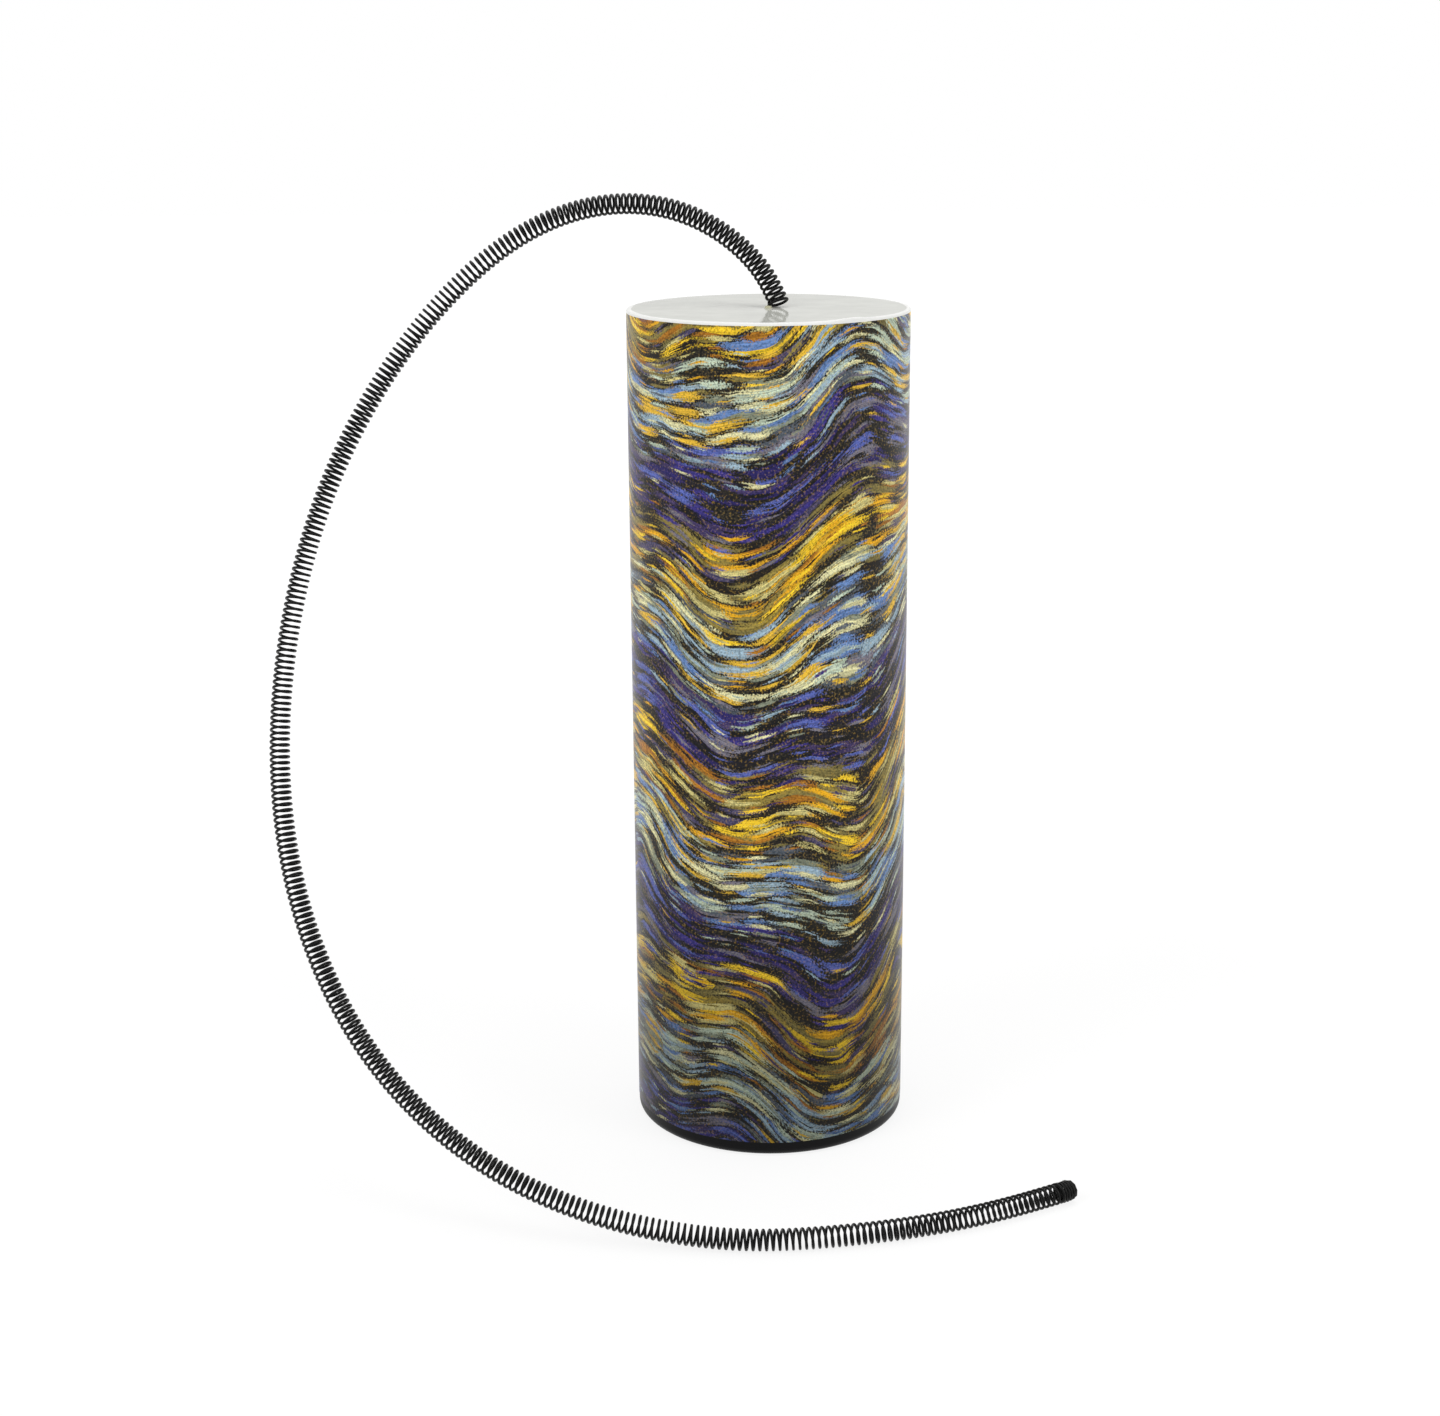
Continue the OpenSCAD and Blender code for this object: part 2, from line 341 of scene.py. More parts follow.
        alpha = add_node(tree, MAP_RANGE, [frayed, given["Cover"], soft_edge, 1.0, 0.0])
        ink = self.dab_colour(tree, cell, given, streak)
        colour = add_node(tree, "ShaderNodeMix", {"Factor": alpha, "A": given["Below"], "B": ink},
                          data_type="RGBA")
        add_node(tree, "NodeGroupOutput", [colour.outputs["Result"]])
        return tree

    def flow(self, tree: NodeTree, here: NodeSocket) -> tuple[NodeSocket, ...]:
        """Works out the way that the brush goes.

        Args:
            tree: The material's tree.
            here: Object coordinates in metres.

        Returns:
            Millimetres round the tube along the waves, and millimetres up it across them.
        """
        axes = add_node(tree, "ShaderNodeSeparateXYZ", [here]).outputs
        front = add_node(tree, MATH, [axes[1], -1.0], operation="MULTIPLY")
        angle = add_node(tree, MATH, [axes[0], front], operation="ARCTAN2")
        along = add_node(tree, MATH, [angle, self.radius], operation="MULTIPLY")
        up_mm = add_node(tree, MATH, [axes[2], 1 / MM], operation="MULTIPLY")
        across = up_mm
        for times, height, lean in self.swells:
            turned = add_node(tree, MATH, [angle, times], operation="MULTIPLY")
            leaning = add_node(tree, MATH, [up_mm, lean, turned], operation="MULTIPLY_ADD")
            swell = add_node(tree, MATH, [leaning], operation="SINE")
            across = add_node(tree, MATH, [swell, height, across], operation="MULTIPLY_ADD")
        for per_metre, height in self.wanders:
            noise = add_node(tree, NOISE, {"Vector": here, "Scale": per_metre, "Detail": 1.0})
            across = add_node(tree, MATH, [noise, height, across], operation="MULTIPLY_ADD")
        return along.outputs[0], across.outputs[0]

    def dress(self) -> Material:
        """Builds the print's material.

        Returns:
            The material, in the object's own millimetres round the tube and up it.
        """
        material, tree = new_material(self.name)
        here = add_node(tree, "ShaderNodeTexCoord").outputs["Object"]
        along, across = self.flow(tree, here)
        grain = add_node(tree, NOISE, {"Vector": here, "Scale": self.canvas_per_metre, "Detail": 1.0})
        ground = add_node(tree, "ShaderNodeValToRGB", [grain])
        set_stops(ground, list(zip(self.ground_span, self.ground)))
        colour, group = ground, self.dab_group()
        for layer in self.layers:
            colour = add_node(tree, "ShaderNodeGroup", [along, across, *layer, colour], node_tree=group)
        specks = add_node(tree, MAP_RANGE, [grain, *self.speck_span, 0.0, self.speck_cover])
        specked = add_node(tree, "ShaderNodeMix", {"Factor": specks, "A": colour, "B": linear(self.speck)},
                           data_type="RGBA")
        weave = add_node(tree, MAP_RANGE, [grain, *self.weave_span, *self.weave_levels])
        # The inks deepen towards the foot
        up = add_node(tree, "ShaderNodeSeparateXYZ", [here]).outputs[2]
        heights = [height * MM for height in self.depth_heights]
        depth = add_node(tree, MAP_RANGE, [up, *heights, *self.depth_levels])
        level = add_node(tree, MATH, [weave, depth], operation="MULTIPLY")
        inked = add_node(tree, "ShaderNodeMix", {"Factor": 1.0, "A": specked.outputs["Result"], "B": level},
                         data_type="RGBA", blend_type="MULTIPLY")
        ripple = add_node(tree, NOISE, {"Vector": here, "Scale": 1 / (self.ripple_length * MM),
                                                       "Detail": 0.0})
        bump = add_node(tree, "ShaderNodeBump", {"Strength": self.ripple_strength,
                                                 "Distance": self.ripple_depth * MM, "Height": ripple})
        shader = add_node(tree, "ShaderNodeBsdfPrincipled", {
            "Base Color": inked.outputs["Result"], "Roughness": self.roughness,
            "Specular IOR Level": self.specular, "Coat Weight": self.coat,
            "Coat Roughness": self.coat_roughness, "Normal": bump,
        })
        add_node(tree, "ShaderNodeOutputMaterial", {"Surface": shader})
        return material


@dataclass(frozen=True)
class PlainFinish:
    """A finish of one material whose colour and relief vary finely over the surface."""

    name: str
    dark: str
    light: str
    grain_mm: float
    roughness: tuple[float, float]
    metallic: float = 0.0
    specular: float = 0.5
    relief_mm: float = 0.01
    relief_strength: float = 0.5
    coat: float = 0.0
    coat_roughness: float = 0.1
    stretch: tuple[float, float, float] = (1.0, 1.0, 1.0)
    detail: float = 4.0
    # Painted highlight: a lighter colour outside a radius, standing in for light on a bent rim. Its border
    # wanders by a few tenths of a millimetre, in waves 20 mm long
    painted_highlight: str = ""
    highlight_radius_mm: float = 0.0
    highlight_wave_mm: float = 20.0
    highlight_wander_mm: float = 2.0
    highlight_blur_mm: float = 0.15

    def add_painted_highlight(self, tree: NodeTree, here: NodeSocket, inner: Node) -> NodeSocket:
        """Paints a highlight: the finish's lighter colour outside a radius from the tube's axis.

        Args:
            tree: The material's tree.
            here: Object coordinates in metres.
            inner: The node with the colour inside the radius.

        Returns:
            The socket with the mixed colour.
        """
        flat = add_node(tree, VECTOR_MATH, [here, (1.0, 1.0, 0.0)], operation="MULTIPLY")
        radius = add_node(tree, VECTOR_MATH, [flat], operation="LENGTH").outputs["Value"]
        waves = 1 / (self.highlight_wave_mm * MM)
        wander = add_node(tree, NOISE, {"Vector": here, "Scale": waves, "Detail": 1.0})
        place = add_node(tree, MATH, [wander, self.highlight_wander_mm * MM, radius], operation="MULTIPLY_ADD")
        middle = self.highlight_radius_mm + self.highlight_wander_mm / 2
        # Share of the painted highlight: none inside the radius, full beyond it
        outside = add_node(tree, MAP_RANGE, [place, (middle - self.highlight_blur_mm) * MM,
                                                        (middle + self.highlight_blur_mm) * MM])
        return add_node(tree, "ShaderNodeMix", {"Factor": outside, "A": inner, "B": linear(self.painted_highlight)},
                        data_type="RGBA").outputs["Result"]

    def dress(self) -> Material:
        """Builds the finish's material on object coordinates.

        Returns:
            The material.
        """
        material, tree = new_material(self.name)
        here = add_node(tree, "ShaderNodeTexCoord").outputs["Object"]
        place = add_node(tree, "ShaderNodeMapping", {"Vector": here, "Scale": self.stretch})
        grain = add_node(tree, NOISE, {"Vector": place, "Scale": 1 / (self.grain_mm * MM),
                                                      "Detail": self.detail})
        tone = add_node(tree, "ShaderNodeValToRGB", [grain])
        set_stops(tone, list(zip(NOISE_SPAN, (self.dark, self.light))))
        # Where a highlight colour is given, it is painted on outside its radius
        colour = self.add_painted_highlight(tree, here, tone) if self.painted_highlight else tone
        rough = add_node(tree, MAP_RANGE, [grain, *NOISE_SPAN, *self.roughness])
        bump = add_node(tree, "ShaderNodeBump", {"Strength": self.relief_strength,
                                                 "Distance": self.relief_mm * MM, "Height": grain})
        shader = add_node(tree, "ShaderNodeBsdfPrincipled", {
            "Base Color": colour, "Roughness": rough, "Metallic": self.metallic,
            "Specular IOR Level": self.specular, "Coat Weight": self.coat,
            "Coat Roughness": self.coat_roughness, "Normal": bump,
        })
        add_node(tree, "ShaderNodeOutputMaterial", {"Surface": shader})
        return material


# Frosted polyester film, rolled flat: milky and blurring what it reflects, with a painted near-white
# highlight along its bent rim
HEAD_FILM = PlainFinish("frosted_polyester_film", "#cbccc4", "#d6d7cf", 6.0, (0.06, 0.1), specular=0.02,
                        relief_mm=0.002, painted_highlight="#fdfdfa", highlight_radius_mm=28.4)
# Black-oxided music wire, drawn and coiled: near black, with a soft grey light along each turn
SPRING_WIRE = PlainFinish("black_oxided_music_wire", "#030303", "#0b0b0b", 0.8, (0.26, 0.36), specular=0.16,
                          relief_mm=0.003)
# Moulded polypropylene: a deep black with a satin, faintly pebbled skin
RING_PLASTIC = PlainFinish("moulded_black_polypropylene", "#060606", "#0b0b0c", 0.5, (0.32, 0.42),
                           specular=0.12, relief_mm=0.004)
# Wound kraft board: dull brown, with long pale and dark fibres that run round the tube
KRAFT_BOARD = PlainFinish("wound_kraft_board", "#8a6a42", "#b8945f", 2.5, (0.85, 0.95), specular=0.2,
                          relief_mm=0.03, stretch=(1.0, 1.0, 4.0))
# Punched vulcanised fibre: a dull pale grey disc with a felted surface
WASHER_FIBRE = PlainFinish("punched_vulcanised_fibre", "#b9b6aa", "#cfccc0", 0.7, (0.7, 0.85))
# A drop of clear yellowish epoxy: small, glassy and a little uneven
BEAD_EPOXY = PlainFinish("set_epoxy_drop", "#b9b794", "#cbc9a8", 0.9, (0.12, 0.2), coat=0.5)
# White wood glue, brushed on thin: hidden in the joint, chalky cream
JOINT_GLUE = PlainFinish("brushed_pva_glue", "#d6cfae", "#e8e2c6", 3.0, (0.5, 0.65), relief_mm=0.02)


@dataclass
class Spring:
    """The spring: one wire of more than three hundred turns, along its smooth route."""

    tube_radius: float = 29.5
    tube_height: float = 178.0
    spring_diameter: float = 4.5
    wire_diameter: float = 0.6
    pitch: float = 1.315
    closed_pitch: float = 0.64
    closed_turns: float = 5.5
    # The tip: its last turns draw in to a round end
    dome_length: float = 1.5
    dome_share: float = 0.7
    tip_trim: float = 2.7
    reach_beyond_tube: float = 78.5
    front_beyond_tube: float = 42.5
    floor_clearance: float = 0.05
    # The coil's foot: how far it stands above the head and off the tube's axis, and on which side
    foot_rise: float = 0.4
    foot_offset: float = 0.5
    foot_angle: float = 10.0
    # The retaining turns lie just below the washer, and the wire goes up through the head from them
    washer_bottom: float = 177.15
    washer_gap: float = 0.1
    anchor_turns: float = 2.25
    anchor_pitch: float = 0.62
    head_exit: float = 0.15
    pull_below: float = 0.5
    pull_above: float = 0.9
    join_share: float = 0.35
    steps_per_turn: int = 18
    steps_per_bend: int = 10
    wire_sides: int = 8
    samples_per_span: int = 40
    small_step: float = 0.01
    route_shares: tuple[tuple[float, float, float], ...] = (
        (-0.02, 0.08, 1.06), (-0.20, 0.20, 1.13), (-0.50, 0.35, 1.10), (-0.82, 0.35, 0.89),
        (-0.98, 0.15, 0.64), (-0.99, -0.20, 0.36), (-0.80, -0.58, 0.14), (-0.48, -0.88, 0.03),
        (-0.15, -1.00, 0.0), (0.05, -1.00, 0.0), (0.35, -0.90, 0.0), (0.59, -0.68, 0.0),
    )
    cut_shares: tuple[float, ...] = (
        0, 0.018, 0.05, 0.095, 0.15, 0.22, 0.31, 0.42, 0.52, 0.61, 0.70, 0.79, 0.885, 1,
    )
    route: np.ndarray = field(init=False)
    travelled: np.ndarray = field(init=False)

    def __post_init__(self) -> None:
        """Works out the route's points and the length travelled to each."""
        level = self.spring_diameter / 2 + self.floor_clearance
        reach = self.tube_radius + self.reach_beyond_tube
        front = self.tube_radius + self.front_beyond_tube
        turn = math.radians(self.foot_angle)
        off_axis = self.coil_radius + self.foot_offset
        control = [np.array([off_axis * math.cos(turn), off_axis * math.sin(turn),
                             self.tube_height + self.foot_rise])]
        control += [np.array([x * reach, y * front, level + z * (self.tube_height - level)])
                    for x, y, z in self.route_shares]
        guides = [2 * control[0] - control[1], *control, 2 * control[-1] - control[-2]]
        spans = len(control) - 1
        points = []
        for i in range(spans):
            a, b, c, d = guides[i:i + 4]
            for k in range(self.samples_per_span + (i == spans - 1)):
                t = k / self.samples_per_span
                points.append(((1 - t) ** 3 * a + (3 * t ** 3 - 6 * t ** 2 + 4) * b
                               + (-3 * t ** 3 + 3 * t ** 2 + 3 * t + 1) * c + t ** 3 * d) / 6)
        self.route = np.array(points)
        steps = np.linalg.norm(np.diff(self.route, axis=0), axis=1)
        self.travelled = np.concatenate([[0.0], np.cumsum(steps)])

    @property
    def coil_radius(self) -> float:
        """Radius of the wire's middle on the coil, in millimetres."""
        return (self.spring_diameter - self.wire_diameter) / 2

    @property
    def length(self) -> float:
        """Length of the route in millimetres."""
        return float(self.travelled[-1])

    @property
    def tip(self) -> float:
        """Length of the route where the wound wire ends, in millimetres."""
        return self.length - self.tip_trim

    @property
    def closed_from(self) -> float:
        """Length of the route where the closed turns of the tip start, in millimetres."""
        return self.tip - self.closed_turns * self.closed_pitch

    def middle_at(self, s: float) -> np.ndarray:
        """Point of the route at a length, in millimetres."""
        return np.array([np.interp(s, self.travelled, self.route[:, a]) for a in range(3)])

    def sides_at(self, s: float) -> tuple[np.ndarray, np.ndarray, np.ndarray]:
        """Directions at a length of the route.

        Args:
            s: Length from the foot in millimetres.

        Returns:
            The heading, and two directions square to it, as the construction has them.
        """
        near = self.length / len(self.route)
        heading = self.middle_at(min(s + near, self.length)) - self.middle_at(max(s - near, 0.0))
        heading /= np.linalg.norm(heading)
        side = np.cross(heading, [0.0, 1.0, 0.0])
        side /= np.linalg.norm(side)
        return heading, np.cross(side, heading), side

    def first_turn(self) -> float:
        """Angle of the wire on the coil where it leaves the head, in radians."""
        foot = self.route[0] * [1.0, 1.0, 0.0]
        _, rise, side = self.sides_at(0.0)
        return math.atan2(-foot @ side, -foot @ rise)

    def turns_at(self, s: float) -> float:
        """Turns wound from the foot to a length of the route."""
        return s / self.pitch + max(0.0, s - self.closed_from) * (1 / self.closed_pitch - 1 / self.pitch)

    def wire_at(self, s: float) -> np.ndarray:
        """Middle of the wire at a length of the route, in millimetres."""
        _, rise, side = self.sides_at(s)
        turn = self.first_turn() + FULL_TURN * self.turns_at(s)
        return self.middle_at(s) + self.coil_radius * (math.cos(turn) * rise + math.sin(turn) * side)

    def coil_tree(self, material: Material) -> NodeTree:
        """Makes the geometry nodes that wind a wire along a route.

        Args:
            material: The wire's material.

        Returns:
            The tree. Its geometry input is the route as a line of edges.
        """
        tree = bpy.data.node_groups.new("Coil along a route", "GeometryNodeTree")
        tree.interface.new_socket("Geometry", in_out="INPUT", socket_type="NodeSocketGeometry")
        for label in ("Start", "End", "Pitch", "Closed pitch", "Closed from", "First turn", "Coil radius",
                      "Wire radius", "Dome from", "Dome to", "Dome share"):
            tree.interface.new_socket(label, in_out="INPUT", socket_type="NodeSocketFloat")
        for label in ("Points", "Wire sides"):
            tree.interface.new_socket(label, in_out="INPUT", socket_type="NodeSocketInt")
        tree.interface.new_socket("Geometry", in_out="OUTPUT", socket_type="NodeSocketGeometry")
        given = add_node(tree, "NodeGroupInput").outputs
        route = add_node(tree, "GeometryNodeMeshToCurve", [given["Geometry"]])
        line = add_node(tree, "GeometryNodeCurvePrimitiveLine")
        strand = add_node(tree, "GeometryNodeResampleCurve", {"Curve": line, "Count": given["Points"]},
                          mode="COUNT")
        index = add_node(tree, "GeometryNodeInputIndex")
        last = add_node(tree, MATH, [given["Points"], 1.0], operation="SUBTRACT")
        share = add_node(tree, MATH, [index, last], operation="DIVIDE")
        place = add_node(tree, MAP_RANGE, [share, 0.0, 1.0, given["Start"], given["End"]])
        at = add_node(tree, "GeometryNodeSampleCurve", {"Curves": route, "Length": place}, mode="LENGTH",
                      use_all_curves=True)
        heading = at.outputs["Tangent"]
        side = add_node(tree, VECTOR_MATH, [heading, (0.0, 1.0, 0.0)], operation="CROSS_PRODUCT")
        side = add_node(tree, VECTOR_MATH, [side], operation="NORMALIZE")
        rise = add_node(tree, VECTOR_MATH, [side, heading], operation="CROSS_PRODUCT")
        open_turns = add_node(tree, MATH, [place, given["Pitch"]], operation="DIVIDE")
        past = add_node(tree, MATH, [place, given["Closed from"]], operation="SUBTRACT")
        past = add_node(tree, MATH, [past, 0.0], operation="MAXIMUM")
        pitches = given["Closed pitch"], given["Pitch"]
        rates = [add_node(tree, MATH, [1.0, pitch], operation="DIVIDE") for pitch in pitches]
        more = add_node(tree, MATH, rates, operation="SUBTRACT")
        turns = add_node(tree, MATH, [past, more, open_turns], operation="MULTIPLY_ADD")
        angle = add_node(tree, MATH, [turns, FULL_TURN, given["First turn"]], operation="MULTIPLY_ADD")
        # The last turns draw in to a round end
        drawn = add_node(tree, MAP_RANGE, [place, given["Dome from"], given["Dome to"], 0.0,
                                                      given["Dome share"]])
        square = add_node(tree, MATH, [drawn, drawn], operation="MULTIPLY")
        left = add_node(tree, MATH, [1.0, square], operation="SUBTRACT")
        share_left = add_node(tree, MATH, [left], operation="SQRT")
        radius = add_node(tree, MATH, [share_left, given["Coil radius"]], operation="MULTIPLY")
        spot = at.outputs["Position"]
        for direction, wave in ((rise, "COSINE"), (side, "SINE")):
            amount = add_node(tree, MATH, [angle], operation=wave)
            amount = add_node(tree, MATH, [amount, radius], operation="MULTIPLY")
            offset = add_node(tree, VECTOR_MATH, {0: direction, "Scale": amount}, operation="SCALE")
            spot = add_node(tree, VECTOR_MATH, [spot, offset], operation="ADD")
        wound = add_node(tree, "GeometryNodeSetPosition", {"Geometry": strand, "Position": spot})
        section = add_node(tree, "GeometryNodeCurvePrimitiveCircle", {"Resolution": given["Wire sides"],
                                                                      "Radius": given["Wire radius"]})
        wire = add_node(tree, "GeometryNodeCurveToMesh", {"Curve": wound, "Profile Curve": section,
                                                          "Fill Caps": True})
        smooth = add_node(tree, "GeometryNodeSetShadeSmooth", {"Geometry": wire})
        real = add_node(tree, "GeometryNodeRealizeInstances", {"Geometry": smooth})
        dressed = add_node(tree, "GeometryNodeSetMaterial", {"Geometry": real, "Material": material})
        add_node(tree, "NodeGroupOutput", [dressed])
        return tree

    def wind(self, name: str, tree: NodeTree, start: float, end: float) -> Object:
        """Winds the wire along one stretch of the route.

        Args:
            name: The piece's name.
            tree: The coil's geometry nodes.
            start: Length of the route where the stretch starts, in millimetres.
            end: Length where it ends.

        Returns:
            A plain mesh object at the origin.
        """
        mesh = bpy.data.meshes.new(name + "_route")
        edges = [(i, i + 1) for i in range(len(self.route) - 1)]
        mesh.from_pydata([tuple(p * MM) for p in self.route], edges, [])
        host = add_object(name + "_route", mesh)
        winder = host.modifiers.new("coil", "NODES")
        winder.node_group = tree
        turns = self.turns_at(end) - self.turns_at(start)
        values = {
            "Start": start * MM, "End": end * MM, "Pitch": self.pitch * MM,
            "Closed pitch": self.closed_pitch * MM, "Closed from": self.closed_from * MM,
            "Dome from": (self.tip - self.dome_length) * MM, "Dome to": self.tip * MM,
            "Dome share": self.dome_share, "First turn": self.first_turn(),
            "Coil radius": self.coil_radius * MM, "Wire radius": self.wire_diameter / 2 * MM,
            "Points": round(turns * self.steps_per_turn) + 1, "Wire sides": self.wire_sides,
        }
        for item in tree.interface.items_tree:
            if item.in_out == "INPUT" and item.name in values:
                winder[item.identifier] = values[item.name]
        bpy.context.view_layer.update()
        evaluated = host.evaluated_get(bpy.context.evaluated_depsgraph_get())
        made = bpy.data.meshes.new_from_object(evaluated)
        made.name = name
        bpy.data.objects.remove(host)
        return add_object(name, made)

    def foot_path(self, join: float) -> np.ndarray:
        """Middle of the wire from its retaining turns, up through the head, to the first turn.

        Args:
            join: Length of the route where the foot meets the coil, in millimetres.

        Returns:
            Points in millimetres.
        """
        turn = math.radians(self.foot_angle)
        centre = self.coil_radius * np.array([math.cos(turn), math.sin(turn), 0.0])
        top = self.washer_bottom - self.wire_diameter / 2 - self.washer_gap
        points = []
        for i in range(round(self.anchor_turns * self.steps_per_turn), 1, -1):
            a = turn + math.pi - FULL_TURN * i / self.steps_per_turn
            z = top - self.anchor_pitch * i / self.steps_per_turn
            points.append(centre + [self.coil_radius * math.cos(a), self.coil_radius * math.sin(a), z])
        up = np.array([0.0, 0.0, 1.0])
        below, above = (top + self.washer_gap) * up, (self.tube_height + self.head_exit) * up
        points += self.bend(points[-1], points[-1] - points[-2], below, up, self.pull_below)
        ahead = self.wire_at(join + self.small_step) - self.wire_at(join - self.small_step)
        points += self.bend(above, up, self.wire_at(join), ahead, self.pull_above)
        return np.array(points)

    def bend(self, a: np.ndarray, way_a: np.ndarray, b: np.ndarray, way_b: np.ndarray, pull: float
             ) -> list[np.ndarray]:
        """Points of a smooth bend of the wire from one place to another.

        Args:
            a: Where it starts.
            way_a: Its direction there.
            b: Where it ends.
            way_b: Its direction there.
            pull: How far it keeps each direction, in millimetres.

        Returns:
            The bend's points in millimetres.
        """
        c = a + way_a / np.linalg.norm(way_a) * pull
        d = b - way_b / np.linalg.norm(way_b) * pull
        return [(1 - t) ** 3 * a + 3 * (1 - t) ** 2 * t * c + 3 * (1 - t) * t ** 2 * d + t ** 3 * b
                for t in np.linspace(0.0, 1.0, self.steps_per_bend)]

    def sweep(self, name: str, path: np.ndarray, material: Material) -> Object:
        """Draws the wire along points, with closed ends.

        Args:
            name: The piece's name.
            path: The wire's middle in millimetres.
            material: The wire's material.

        Returns:
            A plain mesh object at the origin.
        """
        ways = np.gradient(path, axis=0)
        ways /= np.linalg.norm(ways, axis=1)[:, None]
        # Any direction that the wire doesn't start in will do for the first ring
        up = np.cross(ways[0], [0.3, 0.5, 0.8])
        points = []
        for at, way in zip(path, ways):
            up = up - (up @ way) * way
            up /= np.linalg.norm(up)
            for j in range(self.wire_sides):
                a = FULL_TURN * j / self.wire_sides
                out = math.cos(a) * up + math.sin(a) * np.cross(way, up)
                points.append((at + self.wire_diameter / 2 * out) * MM)
        piece = finished_mesh(name, np.array(points), closed_row(len(path), self.wire_sides))
        piece.data.materials.append(material)
        return piece

    def build(self) -> list[Object]:
        """Winds the whole spring in pieces, and hides the frame's sections that they stand for.

        Returns:
            The spring's pieces, from the foot to the tip.
        """
        material = SPRING_WIRE.dress()
        tree = self.coil_tree(material)
        cuts = [share * self.length for share in self.cut_shares]
        middles = [(a + b) / 2 for a, b in zip(cuts, cuts[1:])]
        count = len(middles)
        join = self.join_share * self.pitch
        pieces = []
        for k in range(count - 1):
            start = join if k == 0 else middles[k]
            end = self.tip if k == count - 2 else middles[k + 1]
            piece = self.wind(f"spring_wire_{k + 1:02d}", tree, start, end)
            if k == 0:
                self.join_foot(piece, material, join)
            nodes = [f"spring_section_{k + 1:02d}"]
            if k == count - 2:
                nodes.append(f"spring_section_{count:02d}")
            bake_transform(piece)
            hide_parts(*nodes)
            pieces.append(piece)
        return pieces

    def join_foot(self, piece: Object, material: Material, join: float) -> None:
        """Adds the retaining turns and the rise through the head to the first stretch.

        Args:
            piece: The first stretch of the coil.
            material: The wire's material.
            join: Length of the route where the two meet, in millimetres.
        """
        foot = self.sweep("foot_wire", self.foot_path(join), material)
        work = bmesh.new()
        work.from_mesh(piece.data)
        work.from_mesh(foot.data)
        work.to_mesh(piece.data)
        work.free()
        bpy.data.objects.remove(foot)


